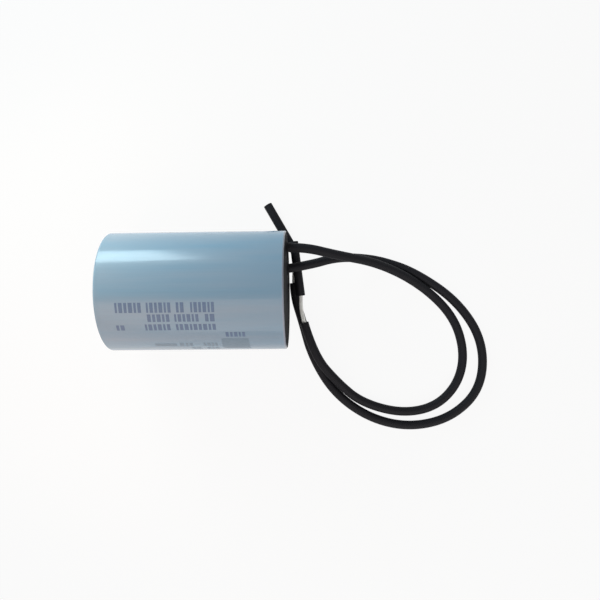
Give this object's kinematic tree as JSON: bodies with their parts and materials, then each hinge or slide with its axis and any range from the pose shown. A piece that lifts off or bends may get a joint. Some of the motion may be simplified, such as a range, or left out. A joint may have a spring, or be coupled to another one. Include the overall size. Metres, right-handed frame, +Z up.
{
  "type": "motor run capacitor",
  "caption": "Round motor run capacitor in a moulded can, potted at the mouth, with insulated leads lying in a loop.",
  "frame": {"origin": "on the floor under the middle of the can, which lies on its side", "axes": "+X along the can towards its potted mouth and the leads, +Y across it away from the loop of the leads, +Z up"},
  "size_m": [0.1151, 0.0736, 0.035],
  "materials": {
    "case_plastic": "glossy moulded pale blue-grey",
    "potting_resin": "black cast resin, satin",
    "metallised_film": "wound film, silvery",
    "core_plastic": "plain moulded",
    "clear_tape": "clear yellowish tape",
    "sprayed_zinc": "rough sprayed metal",
    "solder": "dull solder",
    "lead_insulation": "black extruded plastic, satin",
    "tinned_strands": "twisted tinned strands"
  },
  "bodies": {
    "root": {"case": "case_plastic", "resin_fill": "potting_resin", "film_winding": "metallised_film", "winding_core": "core_plastic", "outer_wrap": "clear_tape", "bottom_end_spray": "sprayed_zinc", "mouth_end_spray": "sprayed_zinc", "bottom_solder": "solder", "mouth_solder": "solder", "inner_lead_tail": "lead_insulation", "outer_lead_tail": "lead_insulation", "inner_tail_strands": "tinned_strands", "outer_tail_strands": "tinned_strands", "inner_lead": "lead_insulation", "outer_lead": "lead_insulation", "inner_lead_strands": "tinned_strands", "outer_lead_strands": "tinned_strands", "inner_lead_sleeve": "lead_insulation", "outer_lead_sleeve": "lead_insulation"}
  },
  "joints": []
}
